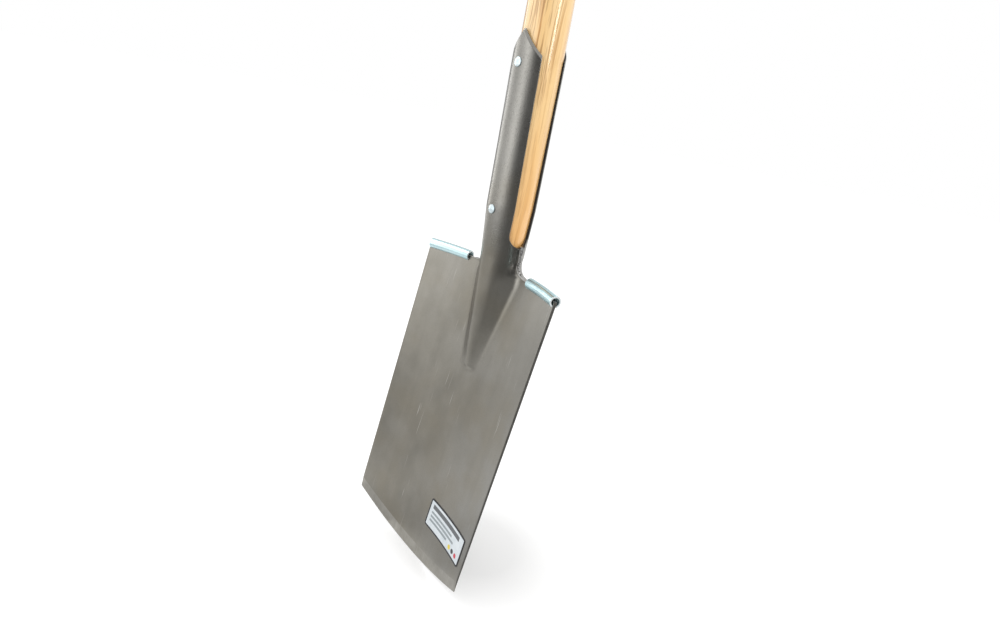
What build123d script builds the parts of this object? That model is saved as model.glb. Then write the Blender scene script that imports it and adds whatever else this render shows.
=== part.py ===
from build123d import *
import os
from math import acos, asin, atan2, cos, degrees, radians, sin, sqrt, tan

# Construction spade: a forged blade with its front strap, a rear strap, treads, rivets and an ash T handle.
# Lengths are in millimetres and angles in degrees.
# Heights run up the shaft from the tread line, which is the level of the blade's top edge.
# The pieces are modelled about the shaft: its axis is Z and the front of the blade faces -Y.

# Blade
blade_width = 187.0
blade_foot_width = 181.0
blade_corner_depth = 281.0
edge_crown = 19.5
blade_lean = 10.9
blade_setback = 2.8
blade_dish = 18.8
foot_dish = 12.9
blade_thickness = 3.0
foot_thickness = 1.8
shoulder_radius = 12.0

# Straps and the socket between them
strap_thickness = 3.0
strap_fit = 0.1
neck_fit = 0.4
plate_fit = 0.1
front_strap_tip = 210.5
rear_strap_tip = 210.0
strap_point_angle = 47.5
side_gap_bottom = 26.0
side_gap_low_width = 24.0
side_gap_high_width = 28.0
socket_taper_height = 60.0
neck_height = 14.0
neck_radius = 20.5
neck_fin = 2.0
neck_fillet = 3.0
neck_flare = 0.3

# Frog, the ridge with straight flanks that runs from the neck down into the blade
# Its half widths are those between the feet of its flanks, at the tread line and at its nose
frog_depth = 96.0
frog_half_width = 31.0
frog_fillet = 8.0
frog_nose_half_width = 13.0
frog_nose_radius = 12.0
frog_nose_step = 2.6
frog_nose_run = 8.0
frog_ridge_half_width = 1.2

# Tongue of the rear strap on the back of the blade, with the lower end of its bulge
tongue_depth = 112.0
tongue_shoulder_depth = 8.0
tongue_bulge_depth = 60.0
tongue_bulge_half_width = 22.0

# Treads
tread_start = 45.0
tread_gap = 4.0
tread_diameter = 10.4
tread_wall = 1.55
tread_slit_fit = 0.15

# Rivets
upper_rivet_height = 182.6
lower_rivet_height = 57.0
rivet_diameter = 6.0
rivet_hole_fit = 0.05
rivet_head_diameter = 8.4
rivet_head_rise = 1.3
rivet_rim = 0.4

# Neck welds
weld_radius = 1.6
weld_rise = 1.0
weld_top_overlap = 1.5
weld_bend_angle = 50.0

# Ash shaft
shaft_diameter = 40.0
shaft_straight_height = 270.0
shaft_grip_diameter = 33.0
shaft_tip_depth = 36.0
shaft_tip_fit = 0.6

# T grip with its through tenon
grip_height = 840.0
grip_length = 128.0
grip_middle_diameter = 40.0
grip_end_diameter = 31.0
grip_end_rounding = 6.0
grip_seat_margin = 0.6
tenon_diameter = 24.0
tenon_fit = 0.05
wedge_depth = 15.0
wedge_thickness = 4.0
wedge_point_thickness = 1.5
grip_pin_diameter = 5.0
grip_pin_drop = 3.0
grip_pin_fit = 0.05

# Label on the front of the blade
label_width = 69.5
label_height = 29.0
label_left = 14.0
label_drop = 239.5
label_corner = 2.5
label_thickness = 0.2
label_glue = 0.1

# Sizes that follow from the ones above
strap_radius = shaft_diameter / 2 + strap_fit + strap_thickness
neck_half_width = neck_radius + neck_fin
blade_foot = -(blade_corner_depth + edge_crown)
rear_plate_half_width = tread_start - tread_gap
grip_top = grip_height + grip_middle_diameter / 2
grip_seat_radius = shaft_grip_diameter / 2 + tenon_fit
grip_seat = grip_height - sqrt((grip_middle_diameter / 2) ** 2 - grip_seat_radius**2) + grip_seat_margin

# Spare material on blanks and tools, which is trimmed off or reaches past what is cut
blank_margin = 8.0
tool_reach = 3 * blade_width

# Shares of the way up to the neck and down to the end of a bulge at which the sheets are drawn
neck_shares = (0.43, 0.14)
bulge_shares = (0.02, 0.25, 0.5, 0.75, 0.9, 1.0)


def between(start, end, share):
    return start + (end - start) * share


def down_blade(height, top, foot):
    """Value at a height that goes evenly from top at the tread line to foot at the blade's lowest point."""
    return between(top, foot, min(height, 0.0) / blade_foot)


def blade_front(height):
    """Y of the blade's front face on the middle line."""
    lean = min(height, 0.0) * tan(radians(blade_lean))
    return blade_setback + lean - down_blade(height, blade_thickness, foot_thickness) / 2


def dish_radius(height):
    """Radius of the blade's front face, which is hollow towards the front."""
    rise = down_blade(height, blade_dish, foot_dish)
    half = blade_width / 2
    return (half**2 + rise**2) / (2 * rise)


def dish_axis(height):
    """Centre of the round section of the blade."""
    return Vector(0, blade_front(height) - dish_radius(height), height)


def front_faces(height, extra=0.0):
    """Radii of the front and back faces of the front forging, with extra thickness on each side."""
    thickness = strap_thickness if height >= neck_height else down_blade(height, blade_thickness, foot_thickness)
    return dish_radius(height) - extra, dish_radius(height) + thickness + extra


def rear_faces(height):
    """Radii of the back and front faces of the rear sheet, which lies on the back of the blade."""
    inner = front_faces(height)[1] + plate_fit
    return inner + strap_thickness, inner


def front_reach(height):
    """Distance from the shaft's axis to the ridge of the frog, from the neck down."""
    nose_reach = frog_nose_step - blade_front(-frog_depth)
    return between(neck_radius, nose_reach, (neck_height - height) / (neck_height + frog_depth))


def rear_reach(height):
    """Distance from the shaft's axis to the ridge of the rear bulge, from the neck down."""
    nose_reach = dish_axis(-tongue_bulge_depth).Y + rear_faces(-tongue_bulge_depth)[0] + frog_nose_step
    return between(neck_radius, nose_reach, (neck_height - height) / (neck_height + tongue_bulge_depth))


def mirrored(point):
    return Vector(-point.X, point.Y, point.Z)


def halfway(centre, radius, first, second):
    """Middle of the shorter arc between two points of a circle."""
    return centre + ((first + second) / 2 - centre).normalized() * radius


def dish_point(centre, radius, across):
    """Point of a dished face at a distance across from the middle line."""
    return centre + Vector(across, sqrt(radius**2 - across**2), 0)


def face_curve(centre, dish, end, foot, crown, ridge_end, apex, fillet_middle):
    """Lines of one face of a pressed sheet: flange, fillet, flank, ridge, flank, fillet and flange."""
    flange_middle = halfway(centre, dish, end, foot)
    right = [
        Line(ridge_end, crown),
        ThreePointArc(crown, fillet_middle, foot),
        ThreePointArc(foot, flange_middle, end),
    ]
    left = [
        ThreePointArc(mirrored(end), mirrored(flange_middle), mirrored(foot)),
        ThreePointArc(mirrored(foot), mirrored(fillet_middle), mirrored(crown)),
        Line(mirrored(crown), mirrored(ridge_end)),
    ]
    return left + [ThreePointArc(mirrored(ridge_end), apex, ridge_end)] + right


def sheet_section(faces):
    """Section between the two faces of a sheet, each given as its arcs and the end of its right flange."""
    (outer, outer_end), (inner, inner_end) = faces
    right_end = Line(outer_end, inner_end)
    left_end = Line(mirrored(outer_end), mirrored(inner_end))
    return Face(Wire(outer + inner + [right_end, left_end]))


def flank_foot(height, top_half_width, nose_depth):
    """Half width between the feet of a bulge's flanks, which follow the shoulders up to the neck."""
    if height < 0:
        return between(top_half_width, frog_nose_half_width, -height / nose_depth)
    return between(top_half_width, neck_radius + neck_flare, sqrt(height / neck_height))


def bulged_section(height, side, dishes, reach, radius, foot_half_width, fillet, half_width):
    """Section with a round ridge between flanks: side is -1 where it stands out to the front and 1 to the back."""
    outer_dish = dishes[0]
    centre = dish_axis(height)
    bulge = Vector(0, side * (reach - radius), height)
    to_foot = dish_point(centre, outer_dish, foot_half_width) - bulge
    flank_angle = atan2(to_foot.X, side * to_foot.Y) - acos(radius / to_foot.length)
    outward = Vector(sin(flank_angle), side * cos(flank_angle), 0)
    along = Vector(cos(flank_angle), -side * sin(flank_angle), 0)
    to_dish = outer_dish + side * fillet
    start = bulge + outward * (radius + fillet) - centre
    ahead = start.dot(along)
    flank = -ahead - side * sqrt(ahead**2 - start.dot(start) + to_dish**2)
    hollow = centre + start + along * flank
    flange_end = dish_point(centre, outer_dish, half_width)
    faces = []
    for dish in dishes:
        depth = abs(dish - outer_dish)
        end = centre + (flange_end - centre) * (dish / outer_dish)
        foot = centre + (hollow - centre) * (dish / to_dish)
        crown = hollow - outward * (fillet + depth)
        ridge_end = bulge + outward * (radius - depth)
        apex = bulge + Vector(0, side * (radius - depth), 0)
        fillet_middle = halfway(hollow, fillet + depth, crown, foot)
        faces.append((face_curve(centre, dish, end, foot, crown, ridge_end, apex, fillet_middle), end))
    return sheet_section(faces)


def plain_section(height, dishes, half_width):
    """Section that is only dished, divided into as many lines as a bulged one."""
    outer_dish = dishes[0]
    centre = dish_axis(height)
    fillet_half_width = frog_nose_step / 4
    foot_x = frog_nose_half_width + fillet_half_width
    crown_x = frog_nose_half_width - fillet_half_width
    faces = []
    for dish in dishes:
        points = []
        for across in (half_width, foot_x, crown_x, frog_ridge_half_width):
            points.append(centre + (dish_point(centre, outer_dish, across) - centre) * (dish / outer_dish))
        end, foot, crown, ridge_end = points
        apex = centre + Vector(0, dish, 0)
        fillet_middle = halfway(centre, dish, foot, crown)
        faces.append((face_curve(centre, dish, end, foot, crown, ridge_end, apex, fillet_middle), end))
    return sheet_section(faces)


def pressed_sheet(side, top, nose_depth, bulge_half_width, foot, reach_at, faces_at, plate_half_width):
    """Untrimmed sheet: a straight strap, a tapered socket, a bulge that runs out, and a dished plate."""
    strap_half_width = neck_half_width + shoulder_radius
    sections = []
    for height, radius in ((top, strap_radius), (socket_taper_height, strap_radius), (neck_height, neck_radius)):
        faces = faces_at(height)
        foot_half_width = radius + neck_flare
        section = bulged_section(height, side, faces, radius, radius, foot_half_width, neck_fillet, strap_half_width)
        sections.append(section)
    heights = [share * neck_height for share in neck_shares]
    for share in bulge_shares:
        heights.append(-share * nose_depth)
    for height in heights:
        radius = between(neck_radius, frog_nose_radius, (neck_height - height) / (neck_height + nose_depth))
        foot_half_width = flank_foot(height, bulge_half_width, nose_depth)
        fillet = between(frog_fillet, neck_fillet, max(height, 0.0) / neck_height)
        faces = faces_at(height)
        reach = reach_at(height)
        section = bulged_section(height, side, faces, reach, radius, foot_half_width, fillet, plate_half_width)
        sections.append(section)
    for height in (-nose_depth - frog_nose_run, foot):
        sections.append(plain_section(height, faces_at(height), plate_half_width))
    return loft(sections, ruled=True)


def front_sheet(extra=0.0):
    """Blank of the front forging, with extra thickness on each side."""
    return pressed_sheet(
        side=-1,
        top=front_strap_tip + blank_margin,
        nose_depth=frog_depth,
        bulge_half_width=frog_half_width,
        foot=blade_foot - blank_margin,
        reach_at=lambda height: front_reach(height) + extra,
        faces_at=lambda height: front_faces(height, extra),
        plate_half_width=blade_width / 2 + blank_margin,
    )


def rear_sheet():
    """Blank of the rear strap."""
    return pressed_sheet(
        side=1,
        top=rear_strap_tip + blank_margin,
        nose_depth=tongue_bulge_depth,
        bulge_half_width=tongue_bulge_half_width,
        foot=-tongue_depth - blank_margin,
        reach_at=rear_reach,
        faces_at=rear_faces,
        plate_half_width=rear_plate_half_width + blank_margin,
    )


def front_view_prism(right_half):
    """Solid with the outline that is given, seen from the front, by its right half from top to bottom."""
    outline = Curve() + right_half
    outline += mirror(outline, about=Plane.YZ)
    face = Plane.XZ * make_face(outline)
    return extrude(face, amount=tool_reach, both=True)


def strap_outline(tip):
    """Right side of a strap: pointed top, straight side and the hollow shoulder at its foot."""
    point_drop = neck_half_width * tan(radians(strap_point_angle))
    corner = (neck_half_width, tip - point_drop)
    shoulder_top = (neck_half_width, shoulder_radius)
    shoulder_foot = (neck_half_width + shoulder_radius, 0)
    return [
        Line((0, tip), corner),
        Line(corner, shoulder_top),
        RadiusArc(shoulder_top, shoulder_foot, -shoulder_radius),
    ]


def blade_outline():
    """Right half of the front forging's outline."""
    top_corner = (blade_width / 2, 0)
    foot_corner = (blade_foot_width / 2, -blade_corner_depth)
    left_foot_corner = (-blade_foot_width / 2, -blade_corner_depth)
    edge = ThreePointArc(foot_corner, (0, blade_foot), left_foot_corner)
    return strap_outline(front_strap_tip) + [
        Line((neck_half_width + shoulder_radius, 0), top_corner),
        Line(top_corner, foot_corner),
        ThreePointArc(foot_corner, edge @ 0.25, (0, blade_foot)),
    ]


def tongue_outline():
    """Right half of the rear strap's outline, which ends in a half-round tongue."""
    plate_corner = (rear_plate_half_width, 0)
    tongue_corner = (rear_plate_half_width, -tongue_shoulder_depth)
    tongue_end = EllipticalCenterArc(
        (0, -tongue_shoulder_depth),
        rear_plate_half_width,
        tongue_depth - tongue_shoulder_depth,
        start_angle=270,
        arc_size=90,
    )
    return strap_outline(rear_strap_tip) + [
        Line((neck_half_width + shoulder_radius, 0), plate_corner),
        Line(plate_corner, tongue_corner),
        tongue_end,
    ]


def side_gap():
    """Tool for the gaps at both sides, where the wood shows between the straps."""
    low = side_gap_low_width / 2
    high = side_gap_high_width / 2
    gap_round_top = side_gap_bottom + low
    top = rear_strap_tip + blank_margin
    outline = Curve() + [
        ThreePointArc((-low, gap_round_top), (0, side_gap_bottom), (low, gap_round_top)),
        Line((low, gap_round_top), (high, top)),
        Line((high, top), (-high, top)),
        Line((-high, top), (-low, gap_round_top)),
    ]
    return extrude(Plane.YZ * make_face(outline), amount=tool_reach, both=True)


def rod_along_y(radius, height, length):
    """Round rod through the shaft from front to back."""
    return Pos(0, 0, height) * Rot(90, 0, 0) * Cylinder(radius, length)


def rivet_holes():
    radius = rivet_diameter / 2 + rivet_hole_fit
    holes = [rod_along_y(radius, height, tool_reach) for height in (upper_rivet_height, lower_rivet_height)]
    return Part() + holes


def make_blade():
    trimmed = front_sheet() & front_view_prism(blade_outline())
    return trimmed - side_gap() - rivet_holes()


def make_rear_strap():
    trimmed = rear_sheet() & front_view_prism(tongue_outline())
    return trimmed - side_gap() - rivet_holes()


def make_tread():
    """Right tread: a tube bent to the dish of the blade, slit by the blade's edge."""
    axis_point = dish_axis(0.0)
    mid_radius = dish_radius(0.0) + blade_thickness / 2
    start = asin(tread_start / mid_radius)
    end = asin(blade_width / 2 / mid_radius)
    radial = Vector(sin(start), cos(start), 0)
    plane = Plane(origin=axis_point, x_dir=radial, z_dir=radial.cross(Vector(0, 0, 1)))
    ring = Circle(tread_diameter / 2) - Circle(tread_diameter / 2 - tread_wall)
    section = plane * (Pos(mid_radius, 0) * ring)
    tube = revolve(section, axis=Axis(axis_point, (0, 0, -1)), revolution_arc=degrees(end - start))
    below = Pos(0, 0, -tool_reach / 2) * Box(tool_reach, tool_reach, tool_reach)
    return tube - (front_sheet(tread_slit_fit) & below)


def rivet_head():
    """Low domed head standing on the XY plane, whose foot reaches below it to meet a round strap."""
    radius = rivet_head_diameter / 2
    foot = -(strap_radius - sqrt(strap_radius**2 - radius**2)) - rivet_rim
    outline = Curve() + [
        Line((0, foot), (radius, foot)),
        Line((radius, foot), (radius, rivet_rim)),
        RadiusArc((radius, rivet_rim), (0, rivet_head_rise), -dome_radius(radius)),
        Line((0, rivet_head_rise), (0, foot)),
    ]
    return revolve(Plane.XZ * make_face(outline), axis=Axis.Z)


def dome_radius(radius):
    """Radius of the ball that a rivet head's dome is cut from."""
    rise = rivet_head_rise - rivet_rim
    return (radius**2 + rise**2) / (2 * rise)


def make_rivet(height, straps):
    shank = rod_along_y(rivet_diameter / 2, height, 2 * strap_radius)
    front_head = Pos(0, -strap_radius, height) * Rot(90, 0, 0) * rivet_head()
    rear_head = Pos(0, strap_radius, height) * Rot(-90, 0, 0) * rivet_head()
    heads = front_head + rear_head - straps
    return shank + heads


def make_neck_weld(straps):
    """Right weld bead, on the edges of the two sheets from the side gap down into the shoulder."""
    seam_y = dish_point(dish_axis(0.0), front_faces(0.0)[1] + plate_fit / 2, neck_half_width).Y
    line_x = neck_half_width - weld_radius + weld_rise
    bend_radius = neck_half_width + shoulder_radius - line_x
    bend_centre = Vector(neck_half_width + shoulder_radius, seam_y, shoulder_radius)
    top = Vector(line_x, seam_y, side_gap_bottom + weld_top_overlap)
    bend_top = Vector(line_x, seam_y, shoulder_radius)
    bend_points = []
    for angle in (radians(weld_bend_angle / 2), radians(weld_bend_angle)):
        bend_points.append(bend_centre + Vector(-cos(angle), 0, -sin(angle)) * bend_radius)
    path = Wire([Line(top, bend_top).edge(), ThreePointArc(bend_top, *bend_points).edge()])
    bead = sweep(Plane(origin=top, z_dir=(0, 0, -1)) * Circle(weld_radius), path=path)
    return bead - straps


def shaft_section(height, radius, setback=0.0):
    return Pos(0, setback, height) * Circle(radius)


def grip_barrel():
    """Crosspiece of the grip without its holes."""
    half = grip_length / 2
    end_radius = grip_end_diameter / 2
    outline = Curve() + [
        ThreePointArc((-half, end_radius), (0, grip_middle_diameter / 2), (half, end_radius)),
        Line((half, end_radius), (half, 0)),
        Line((half, 0), (-half, 0)),
        Line((-half, 0), (-half, end_radius)),
    ]
    barrel = revolve(Plane.XZ * make_face(outline), axis=Axis.X)
    barrel = fillet(barrel.edges().filter_by(GeomType.CIRCLE), grip_end_rounding)
    return Pos(0, 0, grip_height) * barrel


def wedge_prism():
    """Wedge as a plain block that tapers downward, thin from side to side of the spade."""
    top = wedge_thickness / 2
    point = wedge_point_thickness / 2
    low = grip_top - wedge_depth
    outline = Polyline((-top, grip_top), (top, grip_top), (point, low), (-point, low), close=True)
    return extrude(Plane.XZ * make_face(outline), amount=tenon_diameter, both=True)


def tenon_cylinder(radius):
    height = grip_top - grip_seat
    return Pos(0, 0, grip_seat) * Cylinder(radius, height, align=(Align.CENTER, Align.CENTER, Align.MIN))


def make_shaft():
    """Ash shaft: a tip that fills the socket, a straight and a tapered length, and the tenon of the grip."""
    neck_wood = neck_radius - strap_thickness - neck_fit
    front_room = front_reach(-shaft_tip_depth) - blade_thickness
    rear_room = rear_reach(-shaft_tip_depth) - strap_thickness
    tip_radius = (front_room + rear_room) / 2 - shaft_tip_fit
    tip_setback = (rear_room - front_room) / 2
    sections = [
        shaft_section(-shaft_tip_depth, tip_radius, tip_setback),
        shaft_section(neck_height, neck_wood),
        shaft_section(socket_taper_height, shaft_diameter / 2),
        shaft_section(shaft_straight_height, shaft_diameter / 2),
        shaft_section(grip_height - grip_middle_diameter / 2, shaft_grip_diameter / 2),
        shaft_section(grip_seat, shaft_grip_diameter / 2),
    ]
    shaft = loft(sections, ruled=True)
    tenon = tenon_cylinder(tenon_diameter / 2) & grip_barrel()
    return shaft + tenon - wedge_prism() - grip_pin_rod(grip_pin_fit) - rivet_holes()


def grip_pin_rod(fit=0.0):
    height = grip_height - grip_pin_drop
    return rod_along_y(grip_pin_diameter / 2 + fit, height, grip_middle_diameter)


def make_t_grip():
    seat_depth = grip_middle_diameter
    seat_bottom = Pos(0, 0, grip_seat - seat_depth / 2)
    seat = seat_bottom * Cylinder(grip_seat_radius, seat_depth)
    mortise = tenon_cylinder(tenon_diameter / 2 + tenon_fit)
    return grip_barrel() - seat - mortise - grip_pin_rod(grip_pin_fit)


def make_grip_wedge():
    return wedge_prism() & tenon_cylinder(tenon_diameter / 2) & grip_barrel()


def make_grip_pin():
    return grip_pin_rod() & grip_barrel()


def label_section(height):
    """Thin arched section that lies on the blade's front face."""
    centre = dish_axis(height)
    glued_face = front_faces(height)[0] - label_glue
    arcs = []
    for dish in (glued_face - label_thickness, glued_face):
        end = dish_point(centre, dish, blade_width / 2)
        arcs.append(ThreePointArc(mirrored(end), centre + Vector(0, dish, 0), end))
    outer, inner = arcs
    return Face(Wire([outer, Line(outer @ 1, inner @ 1), inner, Line(inner @ 0, outer @ 0)]))


def make_label():
    """Thin label that follows the dish of the blade's front face."""
    top = -frog_depth - frog_nose_run
    skin = loft([label_section(top), label_section(blade_foot - blank_margin)], ruled=True)
    lean = radians(blade_lean)
    plane = Plane(origin=(0, blade_setback, 0), x_dir=(1, 0, 0), z_dir=(0, -cos(lean), sin(lean)))
    middle = Pos(label_left + label_width / 2, -label_drop - label_height / 2)
    outline = plane * (middle * RectangleRounded(label_width, label_height, label_corner))
    return skin & extrude(outline, amount=blade_width / 2, both=True)


def main():
    blade = make_blade()
    rear_strap = make_rear_strap()
    straps = blade + rear_strap
    tread = make_tread()
    weld = make_neck_weld(straps)
    pieces = {
        "blade": blade,
        "rear_strap": rear_strap,
        "neck_weld_right": weld,
        "neck_weld_left": mirror(weld, about=Plane.YZ),
        "tread_right": tread,
        "tread_left": mirror(tread, about=Plane.YZ),
        "upper_rivet": make_rivet(upper_rivet_height, straps),
        "lower_rivet": make_rivet(lower_rivet_height, straps),
        "handle_shaft": make_shaft(),
        "t_grip": make_t_grip(),
        "grip_wedge": make_grip_wedge(),
        "grip_pin": make_grip_pin(),
        "blade_label": make_label(),
    }
    solids = [solid for piece in pieces.values() for solid in piece.solids()]
    box = Compound(solids).bounding_box()
    to_origin = Pos(-box.center().X, -box.center().Y, -box.min.Z)
    os.makedirs("parts", exist_ok=True)
    for name, piece in pieces.items():
        export_step(to_origin * piece, f"parts/{name}.step")
    print("shaft axis at y", -box.center().Y, "tread line at z", -box.min.Z, "size", box.size)


main()
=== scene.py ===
import math

import bmesh
import bpy
from mathutils import Matrix, Vector, noise


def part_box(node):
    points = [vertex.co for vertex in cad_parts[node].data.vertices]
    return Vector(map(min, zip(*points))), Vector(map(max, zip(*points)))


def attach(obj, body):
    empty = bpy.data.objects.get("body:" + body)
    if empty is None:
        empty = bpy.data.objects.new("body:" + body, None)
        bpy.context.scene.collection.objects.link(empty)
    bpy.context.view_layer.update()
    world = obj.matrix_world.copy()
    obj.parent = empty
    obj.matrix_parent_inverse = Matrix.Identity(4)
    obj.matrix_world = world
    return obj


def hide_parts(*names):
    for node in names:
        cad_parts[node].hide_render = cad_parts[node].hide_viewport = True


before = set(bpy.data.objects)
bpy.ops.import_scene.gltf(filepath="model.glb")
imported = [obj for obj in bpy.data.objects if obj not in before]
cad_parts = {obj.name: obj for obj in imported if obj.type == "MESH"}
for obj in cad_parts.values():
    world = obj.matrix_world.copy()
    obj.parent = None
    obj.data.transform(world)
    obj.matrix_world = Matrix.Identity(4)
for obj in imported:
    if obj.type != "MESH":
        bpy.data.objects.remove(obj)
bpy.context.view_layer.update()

# Looks of a construction spade: forged steel blade and straps, zinc treads and rivets, lacquered ash handle.
# Lengths are in metres. Heights run up the shaft from the tread line, the level of the blade's top edge.
MM = 0.001
QUARTER_TURN = math.pi / 2

# Blade
BLADE_WIDTH = 187 * MM
BLADE_FOOT_WIDTH = 181 * MM
BLADE_CORNER_DEPTH = 281 * MM
EDGE_CROWN = 19.5 * MM
BLADE_LEAN = math.radians(10.9)
BLADE_SETBACK = 2.8 * MM
BLADE_DISH = 18.8 * MM
FOOT_DISH = 12.9 * MM
BLADE_THICKNESS = 3 * MM
FOOT_THICKNESS = 1.8 * MM
SIDE_ROUNDING = 0.5 * MM
SIDE_ROUNDING_SHARE = 0.4
EDGE_BEVEL_WIDTH = 12 * MM
EDGE_THICKNESS = 0.7 * MM

# Straps, socket and neck
STRAP_THICKNESS = 3 * MM
STRAP_RADIUS = 23.1 * MM
STRAP_POINT_ANGLE = math.radians(47.5)
STRAP_ROUNDING = 0.7 * MM
FRONT_STRAP_TIP = 210.5 * MM
REAR_STRAP_TIP = 210 * MM
TIP_RADIUS = 2 * MM
TIP_CHAMFER_WIDTH = 2.2 * MM
TIP_CHAMFER_DEPTH = 1.5 * MM
PLATE_FIT = 0.1 * MM
GAP_BOTTOM = 26 * MM
GAP_LOW = 12 * MM
GAP_HIGH = 14 * MM
GAP_TOP = 220 * MM
SOCKET_TAPER_HEIGHT = 60 * MM
NECK_HEIGHT = 14 * MM
NECK_RADIUS = 20.5 * MM
NECK_FILLET = 3 * MM
NECK_FLARE = 0.3 * MM
NECK_HALF_WIDTH = 22.5 * MM
NECK_RIM_FOOT = -0.5 * MM
SHOULDER_RADIUS = 12 * MM

# Frog, the ridge with straight flanks below the neck, and the tongue of the rear strap
FROG_DEPTH = 96 * MM
FROG_HALF_WIDTH = 31 * MM
FROG_FILLET = 8 * MM
FROG_NOSE_HALF_WIDTH = 13 * MM
FROG_NOSE_RADIUS = 12 * MM
FROG_NOSE_STEP = 3 * MM
FROG_NOSE_RUN = 6 * MM
FLARE_DEPTH = 9 * MM
TONGUE_HALF_WIDTH = 41 * MM
TONGUE_DEPTH = 112 * MM
TONGUE_SHOULDER_DEPTH = 8 * MM
TONGUE_BULGE_DEPTH = 60 * MM
TONGUE_BULGE_HALF_WIDTH = 22 * MM

# Treads
TREAD_START = 45 * MM
TREAD_RADIUS = 5.2 * MM
TREAD_BORE = 3.65 * MM
TREAD_SLIT = 1.65 * MM
TREAD_ROUNDING = 0.3 * MM

# Rivets
RIVET_HEIGHTS = {"upper_rivet": 182.6 * MM, "lower_rivet": 57 * MM}
RIVET_SHANK = 3 * MM
RIVET_HEAD = 4.2 * MM
RIVET_RISE = 1.2 * MM
RIVET_RIM = 0.4 * MM
RIVET_SUNK = 0.6 * MM
RIVET_CORNER = 0.25 * MM

# Neck welds
WELD_RADIUS = 1.4 * MM
WELD_RISE = 0.6 * MM
WELD_NUGGET = 0.7 * MM
WELD_NUGGET_LENGTH = 2.5 * MM
WELD_TOP_OVERLAP = 1.5 * MM
WELD_BEND = math.radians(50)
WELD_RIPPLE = 0.16 * MM
WELD_RIPPLE_LENGTH = 1.7 * MM

# Label on the front of the blade
LABEL_WIDTH = 69.5 * MM
LABEL_HEIGHT = 29 * MM
LABEL_LEFT = 14 * MM
LABEL_DROP = 239.5 * MM
LABEL_CORNER = 2.5 * MM
LABEL_BORDER = 1.7 * MM
LABEL_GLUE = 0.1 * MM
LABEL_LIFT = 0.3 * MM
LABEL_SEARCH = (-30 * MM, 60 * MM)

# Shaft, as pairs of height and radius, and the tenon in the grip
SHAFT_TIP = (-36 * MM, 8 * MM)
SHAFT_TIP_SETBACK = -7.4 * MM
SHAFT_RADIUS = 20 * MM
SHAFT_TOP_RADIUS = 16.5 * MM
SHAFT_STEPS = (
    (14 * MM, 17.1 * MM),
    (60 * MM, SHAFT_RADIUS),
    (270 * MM, SHAFT_RADIUS),
    (820 * MM, SHAFT_TOP_RADIUS),
    (829 * MM, SHAFT_TOP_RADIUS),
)
TENON_RADIUS = 12 * MM
TENON_SUNK = 0.25 * MM
GRIP_HEIGHT = 840 * MM
GRIP_RADIUS = 20 * MM

# How far the shaft's wood stands back from the straps, and how it is shaped by hand above them:
# swellings give a height, the reach up and down from it, and a share of the radius
SHAFT_SETBACK = 1.3 * MM
SHAFT_SETBACK_SPANS = ((30 * MM, 150 * MM), (320 * MM, 700 * MM))
SHAFT_SWELLINGS = ((205 * MM, 60 * MM, 0.018), (270 * MM, 70 * MM, -0.022))
SHAFT_RING_LENGTH = 8 * MM

# Unevenness of the surfaces, as pairs of size and of waves to the metre
FORGING_WAVES = ((0.11 * MM, 26), (0.04 * MM, 90))
RIVET_WAVES = (0.06 * MM, 420)
WELD_WAVES = (0.2 * MM, 600)

# Sizes that follow from the ones above
BLADE_FOOT = -(BLADE_CORNER_DEPTH + EDGE_CROWN)
SHOULDER_FOOT = NECK_HALF_WIDTH + SHOULDER_RADIUS
SIDE_SPAN = BLADE_WIDTH / 2 - SHOULDER_FOOT
SHAFT_Y = sum(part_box("grip_pin"), Vector()).y / 2
TREAD_LINE = -BLADE_FOOT
LABEL_MIDDLE = LABEL_LEFT + LABEL_WIDTH / 2
LABEL_LEVEL = -LABEL_DROP - LABEL_HEIGHT / 2
GAP_ROUND_TOP = GAP_BOTTOM + GAP_LOW
TONGUE_ROUND_DEPTH = TONGUE_DEPTH - TONGUE_SHOULDER_DEPTH

# Meshes: columns of the sheets on each side of the middle line, those that round an edge, rows of the bevel
# and of the blade above it, the least step between two rows, and steps of the bisections
MIDDLE_COLUMNS = 40
SIDE_COLUMNS = 26
ROUNDING_COLUMNS = 4
BEVEL_SHARES = (1.05, 0.95, 0.85, 0.6, 0.4, 0.2, 0.08, 0.0)
BEVEL_TOP_SHARE = 1.25
BLADE_ROWS = 146
LEAST_STEP = 0.02 * MM
BISECTIONS = 40
SHARP_ANGLE = math.radians(35)
ROUNDED_ANGLE = math.radians(40)

# Camera of the photograph
PHOTO_WIDTH_PIXELS = 1000
FOCAL_PIXELS = 615
SENSOR_WIDTH_MM = 36
CAMERA_PLACE = Vector((0.42527, -0.36188, 0.43839))
CAMERA_RIGHT = Vector((0.62460, 0.75978, 0.18056))
CAMERA_UP = Vector((-0.34188, 0.05815, 0.93794))

# Studio: floor, and the screens that only reflections see
FLOOR_REACH = 30
# Ring round the spade's foot where the floor glows less, a painted shadow: its middle, the distances over
# which the glow rises, and the glow inside and outside it
PAINTED_SHADOW_MIDDLE = 0.03
PAINTED_SHADOW_SPAN = (0.045, 0.105)
FLOOR_GLOW = (0.16, 0.34)
WALL_RADIUS = 2.0
WALL_HEIGHTS = (0.01, 2.0)
CLOTH_HEIGHT = 4 * MM
CLOTH_EDGES = (0.056, 0.13, 0.25, 0.5, 1.05, WALL_RADIUS)


def between(start, end, share):
    return start + (end - start) * share


def limited(share):
    """Share kept between nought and one."""
    return min(max(share, 0.0), 1.0)


def smooth_step(value, start, end):
    """Nought before the start, one after the end and a smooth rise between them."""
    share = limited((value - start) / (end - start))
    return share * share * (3 - 2 * share)


def spaced(start, end, count):
    """As many even values as are counted, from the start up to the last one before the end."""
    return [between(start, end, step / count) for step in range(count)]


def place(x, y, height):
    """Point of the part's frame for a point given about the shaft's axis and the tread line."""
    return Vector((x, y + SHAFT_Y, height + TREAD_LINE))


# Node helpers


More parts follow.
